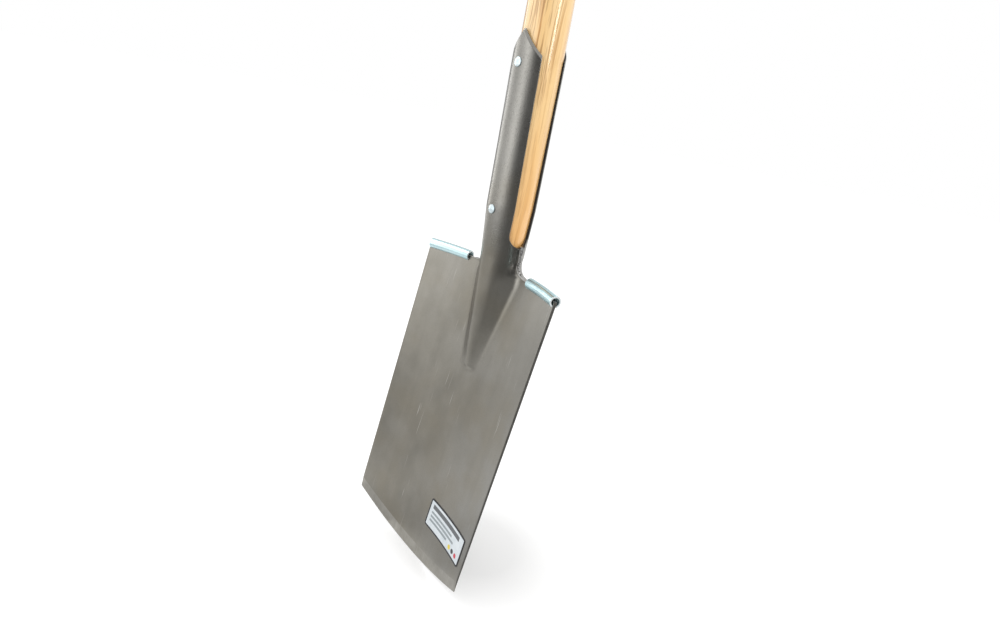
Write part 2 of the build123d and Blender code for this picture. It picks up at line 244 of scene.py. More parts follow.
def set_input(tree, socket, value):
    """Links a socket to another one, or gives it a fixed value."""
    if isinstance(value, bpy.types.NodeSocket):
        tree.links.new(value, socket)
    else:
        socket.default_value = value


def add_node(tree, kind, inputs=None, **settings):
    """New node with its settings, and with each input set to a value or linked to a socket."""
    made = tree.nodes.new(kind)
    for name, value in settings.items():
        setattr(made, name, value)
    for name, value in (inputs or {}).items():
        set_input(tree, made.inputs[name], value)
    return made


def math_node(tree, operation, first, second=0.0, third=0.0):
    made = add_node(tree, "ShaderNodeMath", {0: first, 1: second, 2: third}, operation=operation)
    return made.outputs["Value"]


def times(tree, first, second):
    return math_node(tree, "MULTIPLY", first, second)


def range_map(tree, value, low, high, to_low=0.0, to_high=1.0):
    inputs = {"Value": value, "From Min": low, "From Max": high, "To Min": to_low, "To Max": to_high}
    return add_node(tree, "ShaderNodeMapRange", inputs).outputs["Result"]


def spread(tree, field, low, high):
    """Value from low to high over the range that most of a noise field lies in."""
    return range_map(tree, field, 0.3, 0.7, low, high)


def mix_colour(tree, base, colour, share):
    """Base colour with a share of another one, which is a socket or three numbers."""
    made = add_node(tree, "ShaderNodeMix", data_type="RGBA")
    over = (*colour, 1) if isinstance(colour, tuple) else colour
    values = {"Factor_Float": share, "A_Color": base, "B_Color": over}
    for socket in made.inputs:
        if socket.identifier in values:
            set_input(tree, socket, values[socket.identifier])
    return next(socket for socket in made.outputs if socket.identifier == "Result_Color")


def layer(tree, base, colour, field, low, high, most=1.0):
    """Base colour with another one over it, from none where a field is low to the most where it is high."""
    return mix_colour(tree, base, colour, range_map(tree, field, low, high, 0.0, most))


def ramp(tree, value, stops):
    """Colour ramp: stops are pairs of place and colour, a grey where the colour is one number."""
    made = add_node(tree, "ShaderNodeValToRGB", {"Fac": value})
    elements = made.color_ramp.elements
    while len(elements) < len(stops):
        elements.new(0.5)
    for element, (position, colour) in zip(elements, stops):
        element.position = position
        tone = colour if isinstance(colour, tuple) else (colour, colour, colour)
        element.color = (*tone, 1)
    return made.outputs["Color"]


def two_tones(tree, field, dark, light):
    """Colour from dark to light over the range that most of a noise field lies in."""
    return ramp(tree, field, [(0.3, dark), (0.7, light)])


def object_coordinates(tree):
    return tree.nodes.new("ShaderNodeTexCoord").outputs["Object"]


def mapped(tree, vector, stretch=(1, 1, 1), turn=(0, 0, 0), shift=(0, 0, 0)):
    """Coordinates that are stretched, then turned, then shifted."""
    inputs = {"Vector": vector, "Scale": stretch, "Rotation": turn, "Location": shift}
    return add_node(tree, "ShaderNodeMapping", inputs).outputs["Vector"]


def noise_at(tree, vector, scale, detail, roughness=0.5):
    inputs = {"Vector": vector, "Scale": scale, "Detail": detail, "Roughness": roughness}
    return add_node(tree, "ShaderNodeTexNoise", inputs).outputs["Fac"]


def noise_field(tree, scale=1.0, detail=2.0, roughness=0.5, **mapping):
    """Noise in the part's frame, which may be stretched, turned and shifted first."""
    return noise_at(tree, mapped(tree, object_coordinates(tree), **mapping), scale, detail, roughness)


def bump(tree, height, distance, strength=0.5, below=None):
    inputs = {"Height": height, "Distance": distance, "Strength": strength}
    if below is not None:
        inputs["Normal"] = below
    return add_node(tree, "ShaderNodeBump", inputs).outputs["Normal"]


def distance_along(tree, direction, origin):
    """Distance of the shaded point from an origin, along a direction."""
    offset = -Vector(direction).dot(origin)
    inputs = {0: object_coordinates(tree), 1: direction}
    dot = add_node(tree, "ShaderNodeVectorMath", inputs, operation="DOT_PRODUCT")
    return math_node(tree, "ADD", dot.outputs["Value"], offset)


def height_field(tree):
    """Height of the shaded point above the tread line."""
    return distance_along(tree, (0, 0, 1), Vector((0, 0, TREAD_LINE)))


def side_field(tree):
    """Distance of the shaded point to the right of the middle line."""
    return distance_along(tree, (1, 0, 0), Vector())


def sum_of_squares(tree, first, second):
    return math_node(tree, "MULTIPLY_ADD", first, first, times(tree, second, second))


def new_material(name):
    material = bpy.data.materials.new(name)
    material.use_nodes = True
    tree = material.node_tree
    shader = tree.nodes["Principled BSDF"]
    return material, tree, shader


def connect(tree, shader, inputs):
    for name, value in inputs.items():
        set_input(tree, shader.inputs[name], value)


def set_surface(tree, shader, colour, metallic, roughness, normal):
    inputs = {"Base Color": colour, "Metallic": metallic, "Roughness": roughness, "Normal": normal}
    connect(tree, shader, inputs)


# Materials


def scratch_mask(tree, tilt, shift):
    """Thin short lines along the spade, kept in a few areas only."""
    lines = noise_field(tree, detail=0.5, stretch=(800, 120, 15), turn=(0, tilt, 0), shift=shift)
    areas = noise_field(tree, 26, 1, stretch=(1, 0.5, 0.5), shift=shift)
    return times(tree, range_map(tree, lines, 0.72, 0.76), range_map(tree, areas, 0.59, 0.66))


def neck_painted_shade_mask(tree):
    """Painted shade that rises to one on the metal beside the neck welds, with a cloudy border."""
    across = math_node(tree, "ABSOLUTE", side_field(tree))
    height = height_field(tree)
    near_seam = range_map(tree, across, NECK_HALF_WIDTH - 4 * MM, NECK_HALF_WIDTH - 1 * MM)
    above_foot = range_map(tree, height, -2 * MM, 3 * MM)
    below_gap = range_map(tree, height, GAP_BOTTOM + 4 * MM, GAP_BOTTOM - 2 * MM)
    cloudy = range_map(tree, noise_field(tree, 220), 0.2, 0.5)
    return times(tree, times(tree, near_seam, times(tree, above_foot, below_gap)), cloudy)


def forged_steel_material():
    """Bare forged steel: warm and cloudy on the blade, paler and speckled on the straps, with scratches.
    Painted light makes the blade paler towards the right and the lower right, and painted shade darkens the
    metal beside the neck welds.
    """
    material, tree, shader = new_material("forged_steel")
    clouds = noise_field(tree, 34, 4, stretch=(1, 0.6, 0.7))
    patches = noise_field(tree, 13, 5, shift=(0.7, 0.3, 0.5))
    stains = noise_field(tree, 17, 3, shift=(0.4, 0.1, 0.23))
    rolling = noise_field(tree, detail=3, stretch=(120, 20, 9))
    grain = noise_field(tree, 1100, 3)
    speckles = noise_field(tree, 620, 4, roughness=0.7)
    height = height_field(tree)
    on_strap = range_map(tree, height, -20 * MM, 60 * MM)
    painted_light_to_right = range_map(tree, side_field(tree), 0.0, BLADE_WIDTH / 2, 0.0, 0.6)
    painted_light_low_right = times(tree, painted_light_to_right, range_map(tree, height, -80 * MM, -230 * MM))
    dark_specks = times(tree, range_map(tree, speckles, 0.52, 0.7), on_strap)
    upright_scratches = scratch_mask(tree, 0.03, (0.13, 0.0, 0.31))
    tilted_scratches = scratch_mask(tree, -0.16, (0.52, 0.2, 0.07))
    scratches = math_node(tree, "MAXIMUM", upright_scratches, tilted_scratches)
    blade_tone = two_tones(tree, clouds, (0.221, 0.21, 0.182), (0.294, 0.28, 0.246))
    strap_tone = two_tones(tree, clouds, (0.262, 0.256, 0.238), (0.318, 0.311, 0.291))
    colour = mix_colour(tree, blade_tone, strap_tone, on_strap)
    # Painted light: the blade grows paler towards the right, and paler still at the lower right.
    colour = mix_colour(tree, colour, (0.28, 0.273, 0.25), painted_light_to_right)
    colour = mix_colour(tree, colour, (0.36, 0.358, 0.345), painted_light_low_right)
    colour = layer(tree, colour, (0.335, 0.325, 0.3), patches, 0.45, 0.68, 0.5)
    colour = layer(tree, colour, (0.252, 0.229, 0.181), stains, 0.47, 0.68, 0.55)
    colour = layer(tree, colour, (0.185, 0.177, 0.158), rolling, 0.45, 0.75, 0.14)
    colour = layer(tree, colour, (0.16, 0.153, 0.138), grain, 0.45, 0.75, 0.2)
    colour = mix_colour(tree, colour, (0.12, 0.115, 0.105), times(tree, dark_specks, 0.45))
    # Painted shade beside the neck welds.
    colour = mix_colour(tree, colour, (0.07, 0.067, 0.062), times(tree, neck_painted_shade_mask(tree), 0.65))
    colour = mix_colour(tree, colour, (0.55, 0.54, 0.51), times(tree, scratches, 0.55))
    smoother = times(tree, on_strap, 0.07)
    roughness = math_node(tree, "SUBTRACT", spread(tree, clouds, 0.3, 0.37), smoother)
    speckle_bump = bump(tree, times(tree, speckles, on_strap), 0.14 * MM)
    set_surface(tree, shader, colour, 1.0, roughness, bump(tree, grain, 0.05 * MM, below=speckle_bump))
    return material


def ground_steel_material():
    """Steel brightened by grinding on the cutting edge, with fine marks across the edge."""
    material, tree, shader = new_material("ground_steel")
    marks = noise_field(tree, stretch=(1700, 300, 40))
    clouds = noise_field(tree, 90, 3)
    colour = two_tones(tree, clouds, (0.3, 0.288, 0.258), (0.385, 0.372, 0.34))
    colour = layer(tree, colour, (0.22, 0.211, 0.188), marks, 0.4, 0.7, 0.45)
    set_surface(tree, shader, colour, 1.0, spread(tree, marks, 0.3, 0.42), bump(tree, marks, 0.04 * MM))
    return material


def cut_metal_material(name, dark, light):
    """Sheared edges of the sheets and tubes, a little rough."""
    material, tree, shader = new_material(name)
    clouds = noise_field(tree, 160, 3)
    colour = two_tones(tree, clouds, dark, light)
    grain_bump = bump(tree, noise_field(tree, 2200), 0.1 * MM)
    set_surface(tree, shader, colour, 0.4, spread(tree, clouds, 0.45, 0.6), grain_bump)
    return material


def weld_material():
    """Weld bead: dark with bright flecks, rough."""
    material, tree, shader = new_material("weld_steel")
    flecks = noise_field(tree, 800, 3)
    stops = [(0.36, (0.16, 0.155, 0.147)), (0.5, (0.42, 0.413, 0.4)), (0.66, (0.75, 0.74, 0.72))]
    colour = ramp(tree, flecks, stops)
    roughness = spread(tree, flecks, 0.3, 0.55)
    set_surface(tree, shader, colour, 1.0, roughness, bump(tree, flecks, 0.25 * MM, 0.7))
    return material


def tread_painted_reflections(tree):
    """Painted reflections: a dark line along both treads, and dark streaks on the right one."""
    painted_dark_line = math_node(tree, "COMPARE", height_field(tree), 0.84 * TREAD_RADIUS, 0.2 * MM)
    streaks = noise_field(tree, detail=3, stretch=(14, 200, 420))
    on_right = range_map(tree, side_field(tree), 0.0, TREAD_START)
    painted_dark_streaks = times(tree, range_map(tree, streaks, 0.47, 0.6, 0.0, 0.4), on_right)
    return math_node(tree, "MAXIMUM", times(tree, painted_dark_line, 0.75), painted_dark_streaks)


def rivet_painted_shade(tree):
    """Painted shade: dark rims round the rivets' heads."""
    across = side_field(tree)
    height = height_field(tree)
    squares = []
    for rivet_height in RIVET_HEIGHTS.values():
        squares.append(sum_of_squares(tree, across, math_node(tree, "SUBTRACT", height, rivet_height)))
    nearest = math_node(tree, "MINIMUM", *squares)
    return range_map(tree, nearest, (0.82 * RIVET_HEAD) ** 2, (0.97 * RIVET_HEAD) ** 2, 0.0, 0.85)


def zinc_material(name, dark, light, marks):
    """Bright zinc plating, half matt, with a cool cast, faint drawing lines, and a mask of painted shade and
    painted reflections.
    """
    material, tree, shader = new_material(name)
    lines = noise_field(tree, stretch=(12, 12, 1300))
    clouds = noise_field(tree, detail=3, stretch=(30, 30, 120))
    colour = two_tones(tree, clouds, dark, light)
    colour = layer(tree, colour, (0.36, 0.48, 0.52), lines, 0.5, 0.8, 0.5)
    # Painted shade round the rivets' heads and painted reflections on the treads, from the marks mask.
    colour = mix_colour(tree, colour, (0.2, 0.24, 0.25), marks(tree))
    roughness = range_map(tree, clouds, 0.3, 0.75, 0.17, 0.28)
    set_surface(tree, shader, colour, 0.6, roughness, bump(tree, lines, 0.02 * MM))
    return material


def ash_material(name, turn, flat_side):
    """Lacquered ash: smooth and pale, with wavy streaks and short pores where the growth rings lie flat."""
    material, tree, shader = new_material(name)
    straight = mapped(tree, object_coordinates(tree), turn=turn)
    bend = times(tree, noise_field(tree, stretch=(20, 20, 5), turn=turn), 0.016)
    bent = add_node(tree, "ShaderNodeVectorMath", {0: straight, 1: bend}, operation="ADD").outputs["Vector"]

    def along_grain(across, along, detail, shift=(0, 0, 0)):
        """Noise drawn out along the grain and bent with it."""
        return noise_at(tree, mapped(tree, bent, (across, across, along), shift=shift), 1.0, detail)

    bands = along_grain(120, 3.5, 3)
    streaks = along_grain(430, 11, 3, (3, 1, 2))
    pores = along_grain(1000, 45, 1)
    clouds = along_grain(55, 4, 3, (1, 4, 0))
    to_flat = distance_along(tree, flat_side, place(0, 0, GRIP_HEIGHT))
    on_flat = range_map(tree, to_flat, 0.0, 0.6 * SHAFT_RADIUS, 0.3, 1.0)
    height = height_field(tree)
    above_socket = range_map(tree, height, 110 * MM, 190 * MM, 0.45, 1.0)
    far_above = range_map(tree, height, 260 * MM, 360 * MM, 1.0, 0.55)
    flat = times(tree, on_flat, times(tree, above_socket, far_above))
    painted_shade_in_socket = range_map(tree, height, 150 * MM, 40 * MM, 0.0, 0.75)
    band_mask = times(tree, range_map(tree, bands, 0.51, 0.57), flat)
    streak_mask = times(tree, range_map(tree, streaks, 0.54, 0.6), flat)
    pore_mask = times(tree, range_map(tree, pores, 0.58, 0.66), flat)
    colour = two_tones(tree, clouds, (0.95, 0.61, 0.25), (0.98, 0.71, 0.37))
    # Painted shade: the wood between the straps grows darker and deeper orange towards the socket.
    colour = mix_colour(tree, colour, (0.87, 0.45, 0.135), painted_shade_in_socket)
    colour = mix_colour(tree, colour, (0.57, 0.255, 0.05), band_mask)
    colour = mix_colour(tree, colour, (0.42, 0.19, 0.045), times(tree, streak_mask, 0.75))
    colour = mix_colour(tree, colour, (0.38, 0.2, 0.065), times(tree, pore_mask, 0.5))
    pore_bump = bump(tree, math_node(tree, "SUBTRACT", 1.0, pore_mask), 0.08 * MM, 0.4)
    set_surface(tree, shader, colour, 0.0, spread(tree, clouds, 0.36, 0.46), pore_bump)
    connect(tree, shader, {"Coat Weight": 1.0, "Coat Roughness": 0.08})
    return material


def wedge_material():
    """Darker hardwood of the wedge, seen mostly on its end grain."""
    material, tree, shader = new_material("wedge_wood")
    grain = noise_field(tree, detail=3, stretch=(900, 60, 300))
    colour = two_tones(tree, grain, (0.20, 0.095, 0.038), (0.34, 0.175, 0.075))
    set_surface(tree, shader, colour, 0.0, spread(tree, grain, 0.4, 0.6), bump(tree, grain, 0.1 * MM))
    return material


def pin_material():
    """Plain steel of the grip pin, with turning marks."""
    material, tree, shader = new_material("pin_steel")
    marks = noise_field(tree, 900, 3)
    colour = two_tones(tree, marks, (0.30, 0.30, 0.30), (0.47, 0.47, 0.46))
    set_surface(tree, shader, colour, 1.0, spread(tree, marks, 0.25, 0.42), bump(tree, marks, 0.08 * MM))
    return material


def box_mask(tree, across, up, middle, size):
    """One inside a rectangle on the label, and nought outside."""
    in_width = math_node(tree, "COMPARE", across, middle[0], size[0] / 2)
    in_height = math_node(tree, "COMPARE", up, middle[1], size[1] / 2)
    return times(tree, in_width, in_height)


def dot_mask(tree, across, up, middle, radius):
    """One inside a round mark on the label, and nought outside."""
    width = math_node(tree, "SUBTRACT", across, middle[0])
    height = math_node(tree, "SUBTRACT", up, middle[1])
    return math_node(tree, "LESS_THAN", sum_of_squares(tree, width, height), radius**2)


def border_mask(tree, across, up):
    """One on the border of the label, which has round corners."""
    beyond = []
    for value, half in ((across, LABEL_WIDTH / 2), (up, LABEL_HEIGHT / 2)):
        offset = math_node(tree, "SUBTRACT", math_node(tree, "ABSOLUTE", value), half - LABEL_CORNER)
        beyond.append(math_node(tree, "MAXIMUM", offset, 0.0))
    inner_corner = LABEL_CORNER - LABEL_BORDER
    return math_node(tree, "GREATER_THAN", sum_of_squares(tree, *beyond), inner_corner**2)


def label_material():
    """Silvery film with a dark border, plain grey bars and three round marks."""
    material, tree, shader = new_material("label_film")
    up_blade = (0, math.sin(BLADE_LEAN), math.cos(BLADE_LEAN))
    origin = place(0, BLADE_SETBACK, 0) + Vector(up_blade) * LABEL_LEVEL
    across = distance_along(tree, (1, 0, 0), Vector((LABEL_MIDDLE, 0, 0)))
    up = distance_along(tree, up_blade, origin)
    sheen = noise_field(tree, detail=3, stretch=(90, 60, 60))
    colour = two_tones(tree, sheen, (0.63, 0.69, 0.73), (0.76, 0.81, 0.84))
    dark_grey = (0.13, 0.14, 0.15)
    grey = (0.3, 0.34, 0.36)
    bars = (
        ((-2, 8.2), (54, 4.4), dark_grey),
        ((-8.5, 2.2), (41, 2.3), grey),
        ((-6, -1.9), (46, 2.3), grey),
        ((-12, -6), (34, 2.3), grey),
    )
    for (x, y), (width, height), tone in bars:
        mask = box_mask(tree, across, up, (x * MM, y * MM), (width * MM, height * MM))
        colour = mix_colour(tree, colour, tone, mask)
    dot_level = -8.2 * MM
    dot_radius = 2.3 * MM
    for x, tone in ((13, (0.78, 0.62, 0.08)), (19.5, (0.05, 0.05, 0.055)), (26, (0.62, 0.06, 0.09))):
        mask = dot_mask(tree, across, up, (x * MM, dot_level), dot_radius)
        colour = mix_colour(tree, colour, tone, mask)
    colour = mix_colour(tree, colour, (0.012, 0.012, 0.016), border_mask(tree, across, up))
    set_surface(tree, shader, colour, 0.0, spread(tree, sheen, 0.28, 0.4), bump(tree, sheen, 0.05 * MM, 0.3))
    return material


def emission(tree, colour, strength):
    return add_node(tree, "ShaderNodeEmission", {"Color": colour, "Strength": strength}).outputs["Emission"]


def show(tree, surface):
    """Makes a shader's output the surface of a material."""
    tree.links.new(surface, tree.nodes["Material Output"].inputs["Surface"])


def seen_mask(tree):
    """One for rays of the camera, of reflections and of transmission, and nought for the others."""
    light_path = tree.nodes.new("ShaderNodeLightPath").outputs
    seen = math_node(tree, "MAXIMUM", light_path["Is Camera Ray"], light_path["Is Glossy Ray"])
    return math_node(tree, "MAXIMUM", seen, light_path["Is Transmission Ray"])


def floor_material():
    """Pale floor that stays white to the camera and in reflections, keeps the cast shadow, and glows less in
    a ring round the spade's foot, which paints a faint shadow there.
    """
    material, tree, shader = new_material("floor")
    from_shadow = mapped(tree, object_coordinates(tree), shift=(-PAINTED_SHADOW_MIDDLE, -PAINTED_SHADOW_MIDDLE, 0))
    length = add_node(tree, "ShaderNodeVectorMath", {0: from_shadow}, operation="LENGTH")
    lift = range_map(tree, length.outputs["Value"], *PAINTED_SHADOW_SPAN, *FLOOR_GLOW)
    glow = emission(tree, (1, 1, 1, 1), times(tree, seen_mask(tree), lift))
    connect(tree, shader, {"Base Color": (0.8, 0.8, 0.8, 1), "Roughness": 0.9, "Specular IOR Level": 0.0})
    both = add_node(tree, "ShaderNodeAddShader", {0: shader.outputs["BSDF"], 1: glow})
    show(tree, both.outputs["Shader"])
    return material


def screen_material(name, stops):
    """Studio screen whose brightness goes by the azimuth, in degrees from the front towards the right."""
    material, tree, shader = new_material(name)
    front_place = 0.25
    coordinates = {"Vector": object_coordinates(tree)}
    gradient = add_node(tree, "ShaderNodeTexGradient", coordinates, gradient_type="RADIAL")
    ramp_stops = [(front_place + azimuth / 360, brightness) for azimuth, brightness in stops]
    glow = emission(tree, ramp(tree, gradient.outputs["Fac"], ramp_stops), 1.0)
    tree.nodes.remove(shader)
    show(tree, glow)
    return material


# Sections of the two pressed sheets


def down_blade(height, top, foot):
    """Value that goes evenly from top at the tread line to foot at the blade's lowest point."""
    return between(top, foot, min(height, 0.0) / BLADE_FOOT)


def blade_thickness(height):
    return down_blade(height, BLADE_THICKNESS, FOOT_THICKNESS)


def blade_front(height):
    """Y of the blade's front face on the middle line."""
    return BLADE_SETBACK + min(height, 0.0) * math.tan(BLADE_LEAN) - blade_thickness(height) / 2


def arc_radius(half_width, rise):
    return (half_width**2 + rise**2) / (2 * rise)


def dish_radius(height):
    return arc_radius(BLADE_WIDTH / 2, down_blade(height, BLADE_DISH, FOOT_DISH))


class Section:
    """Level section through the outer face of a sheet, measured by the length along it from the middle line.

    Side is -1 for the front forging and 1 for the rear strap."""

    def __init__(self, side, height):
        self.side = side
        self.height = height
        front = dish_radius(height)
        self.dish_y = blade_front(height) - front
        if side < 0:
            self.dish = front
            self.depth = FROG_DEPTH
            self.half_width = FROG_HALF_WIDTH
        else:
            self.dish = front + blade_thickness(height) + PLATE_FIT + STRAP_THICKNESS
            self.depth = TONGUE_BULGE_DEPTH
            self.half_width = TONGUE_BULGE_HALF_WIDTH
        self.ridge_length = 0.0
        self.flank_length = 0.0
        self.fillet_length = 0.0
        self.foot_angle = 0.0
        below_nose = max(0.0, -self.depth - height) / FROG_NOSE_RUN
        if below_nose < 1:
            self.set_bulge(*self.bulge_sizes(below_nose))

    def bulge_sizes(self, below_nose):
        """Reach of the ridge from the shaft's axis, its radius, and the half width at the flanks' feet."""
        height = self.height
        if height >= NECK_HEIGHT:
            share = (height - NECK_HEIGHT) / (SOCKET_TAPER_HEIGHT - NECK_HEIGHT)
            radius = between(NECK_RADIUS, STRAP_RADIUS, min(share, 1.0))
            return radius, radius, radius + NECK_FLARE
        share = (NECK_HEIGHT - height) / (NECK_HEIGHT + self.depth)
        radius = between(NECK_RADIUS, FROG_NOSE_RADIUS, min(share, 1.0))
        reach = between(NECK_RADIUS, nose_plate(self.side) + FROG_NOSE_STEP, share)
        foot = between(self.half_width, FROG_NOSE_HALF_WIDTH, limited(-height / self.depth))
        foot = between(foot, NECK_RADIUS + NECK_FLARE, smooth_step(height, -FLARE_DEPTH, NECK_HEIGHT))
        if below_nose > 0:
            left_over = 1 - below_nose**2
            reach = self.side * (self.dish_y + self.dish) + FROG_NOSE_STEP * left_over
            foot = FROG_NOSE_HALF_WIDTH * math.sqrt(left_over)
        return reach, radius, foot

    def set_bulge(self, reach, radius, foot):
        """Round ridge, straight flanks that leave it on a tangent, and the fillets at their feet."""
        side = self.side
        self.fillet = between(FROG_FILLET, NECK_FILLET, limited(self.height / NECK_HEIGHT))
        self.radius = radius
        self.bulge = Vector((0, side * (reach - radius)))
        axis = Vector((0, self.dish_y))
        to_foot = Vector((foot, self.dish_y + math.sqrt(self.dish**2 - foot**2))) - self.bulge
        to_tangent = math.acos(min(radius / to_foot.length, 1.0))
        ridge_angle = math.atan2(to_foot.x, side * to_foot.y) - to_tangent
        self.outward = Vector((math.sin(ridge_angle), side * math.cos(ridge_angle)))
        self.along = Vector((math.cos(ridge_angle), -side * math.sin(ridge_angle)))
        start = self.bulge + self.outward * (radius + self.fillet) - axis
        ahead = start.dot(self.along)
        to_dish = self.dish + side * self.fillet
        self.flank_length = -ahead - side * math.sqrt(ahead**2 - start.length_squared + to_dish**2)
        self.hollow = axis + start + self.along * self.flank_length
        self.foot_angle = math.atan2(self.hollow.x, self.hollow.y - self.dish_y)
        self.fillet_start = math.atan2(-self.outward.y, -self.outward.x)
        to_plate = (-side * math.sin(self.foot_angle), -side * math.cos(self.foot_angle))
        turn = math.atan2(to_plate[1], to_plate[0]) - self.fillet_start
        self.fillet_turn = (turn + math.pi) % (2 * math.pi) - math.pi
        self.ridge_length = radius * ridge_angle
        self.fillet_length = self.fillet * abs(self.fillet_turn)

    def at(self, length):
        """Point and outward direction of the outer face at a length from the middle line."""
        if length < self.ridge_length:
            angle = length / self.radius
            out = Vector((math.sin(angle), self.side * math.cos(angle)))
            return self.bulge + out * self.radius, out
        length -= self.ridge_length
        if length < self.flank_length:
            return self.bulge + self.outward * self.radius + self.along * length, self.outward
        length -= self.flank_length
        if length < self.fillet_length:
            angle = self.fillet_start + self.fillet_turn * length / self.fillet_length
            to_metal = Vector((math.cos(angle), math.sin(angle)))
            return self.hollow + to_metal * self.fillet, -to_metal
        angle = self.foot_angle + (length - self.fillet_length) / self.dish
        from_axis = Vector((math.sin(angle), math.cos(angle)))
        return Vector((0, self.dish_y)) + from_axis * self.dish, from_axis * self.side

    def length_to(self, limit_x, gap=None):
        """Length along the face to where it passes limit_x, or comes within gap of the shaft's middle."""
        low, high = 0.0, BLADE_WIDTH
        for _ in range(BISECTIONS):
            middle = (low + high) / 2
            (x, y), _ = self.at(middle)
            if x > limit_x or (gap is not None and self.side * y < gap):
                high = middle
            else:
                low = middle
        return low


def nose_plate(side):
    """Distance of the plate from the shaft's axis, to the sheet's own side, where its bulge ends."""
    if side < 0:
        return -blade_front(-FROG_DEPTH)
    height = -TONGUE_BULGE_DEPTH
    return blade_front(height) + blade_thickness(height) + PLATE_FIT + STRAP_THICKNESS


def rounding(from_edge, radius):
    """Depth by which a face is rounded off at a distance from its edge."""
    if from_edge >= radius:
        return 0.0
    return radius - math.sqrt(radius**2 - (radius - max(from_edge, 0.0)) ** 2)


def column_lengths(edge, count, radius):
    """Lengths from the middle line to the edge, evenly spaced and then close together where it is rounded."""
    even = count - ROUNDING_COLUMNS
    lengths = [(edge - radius) * column / even for column in range(even + 1)]
    for step in range(1, ROUNDING_COLUMNS + 1):
        lengths.append(edge - radius * (1 - math.sin(QUARTER_TURN * step / ROUNDING_COLUMNS)))
    return lengths


def tip_centre(tip):
    """Height of the middle of the arc that blunts a strap's tip."""
    return tip - TIP_RADIUS / math.cos(STRAP_POINT_ANGLE)


def point_foot(tip):
    """Height at which a strap begins to narrow to its point."""
    return tip - NECK_HALF_WIDTH * math.tan(STRAP_POINT_ANGLE)


def strap_limit(height, tip):
    """Half width of a strap seen from the front, with its pointed top and the hollow shoulder at its foot."""
    if height < SHOULDER_RADIUS:
        return SHOULDER_FOOT - math.sqrt(SHOULDER_RADIUS**2 - (SHOULDER_RADIUS - height) ** 2)
    from_centre = height - tip_centre(tip)
    if from_centre > TIP_RADIUS * math.cos(STRAP_POINT_ANGLE):
        return math.sqrt(max(TIP_RADIUS**2 - from_centre**2, 0.0))
    return min(NECK_HALF_WIDTH, (tip - height) / math.tan(STRAP_POINT_ANGLE))


def point_distance(x, height, tip):
    """Distance of a point from the edges of a strap's pointed top."""
    from_centre = height - tip_centre(tip)
    if from_centre > x / math.tan(STRAP_POINT_ANGLE):
        return TIP_RADIUS - math.hypot(x, from_centre)
    return (tip - height) * math.cos(STRAP_POINT_ANGLE) - x * math.sin(STRAP_POINT_ANGLE)


def side_gap(height):
    """Half width of the gap between the straps, or None below it."""
    if height <= GAP_BOTTOM:
        return None
    if height < GAP_ROUND_TOP:
        return math.sqrt(GAP_LOW**2 - (GAP_ROUND_TOP - height) ** 2)
    return between(GAP_LOW, GAP_HIGH, (height - GAP_ROUND_TOP) / (GAP_TOP - GAP_ROUND_TOP))


def strap_heights(tip):
    """Heights of a strap's rows, from its tip down to the tread line."""
    point_rows = 36
    long_rows = 40
    round_rows = 10
    neck_rows = 16
    top = tip_centre(tip) + TIP_RADIUS
    foot = point_foot(tip)
    heights = [top - LEAST_STEP]
    for step in range(1, ROUNDING_COLUMNS):
        heights.append(top - STRAP_ROUNDING * (1 - math.cos(QUARTER_TURN * step / ROUNDING_COLUMNS)))
    heights += spaced(top - STRAP_ROUNDING, foot, point_rows)
    heights += spaced(foot, GAP_ROUND_TOP, long_rows)
    for row in range(round_rows):
        heights.append(GAP_ROUND_TOP - GAP_LOW * math.sin(QUARTER_TURN * row / round_rows))
    heights += [GAP_BOTTOM * (1 - row / neck_rows) for row in range(neck_rows + 1)]
    return heights


def forging_wobble(point):
    """Slight unevenness of a hammered face."""
    return sum(size * noise.noise(point * waves) for size, waves in FORGING_WAVES)


def side_sign(column):
    return 1 if column >= 0 else -1


def both_sides(reach):
    """Numbers of the columns from as far on the left to as far on the right."""
    return range(-reach, reach + 1)


def sheet_vertex(section, sign, length, thickness, outer_cut=0.0, inner_cut=0.0):
    """Outer and inner point of a sheet at a length to the right (sign 1) or left (sign -1) of the middle."""
    (x, y), (out_x, out_y) = section.at(length)
    outer = place(sign * x, y, section.height)
    outward = Vector((sign * out_x, out_y, 0))
    wobble = forging_wobble(outer)
    return outer + outward * (wobble - outer_cut), outer + outward * (wobble + inner_cut - thickness)


def strap_rows(side, tip):
    """Rows of points of a strap, each a dict from column to its outer and inner point."""
    rows = []
    for height in strap_heights(tip):
        section = Section(side, height)
        edge = section.length_to(strap_limit(height, tip), side_gap(height))
        fade = min(1.0, height / SHOULDER_RADIUS)
        rounded = column_lengths(edge, MIDDLE_COLUMNS, min(STRAP_ROUNDING, edge / 2))
        row = {}
        for column in both_sides(MIDDLE_COLUMNS):
            even = edge * abs(column) / MIDDLE_COLUMNS
            length = between(even, rounded[abs(column)], fade)
            across = section.at(length)[0][0]
            from_point = point_distance(across, height, tip)
            cut = fade * rounding(min(edge - length, from_point), STRAP_ROUNDING)
            outer_cut = cut
            if side < 0:
                chamfer = TIP_CHAMFER_DEPTH * (1 - max(from_point, 0.0) / TIP_CHAMFER_WIDTH)
                outer_cut = max(cut, chamfer)
            sign = side_sign(column)
            row[column] = sheet_vertex(section, sign, length, STRAP_THICKNESS, outer_cut, cut)
        rows.append(row)
    return rows


def edge_height(x):
    """Height of the cutting edge at a distance from the middle line."""
    radius = arc_radius(BLADE_FOOT_WIDTH / 2, EDGE_CROWN)
    return BLADE_FOOT + radius - math.sqrt(radius**2 - x**2)


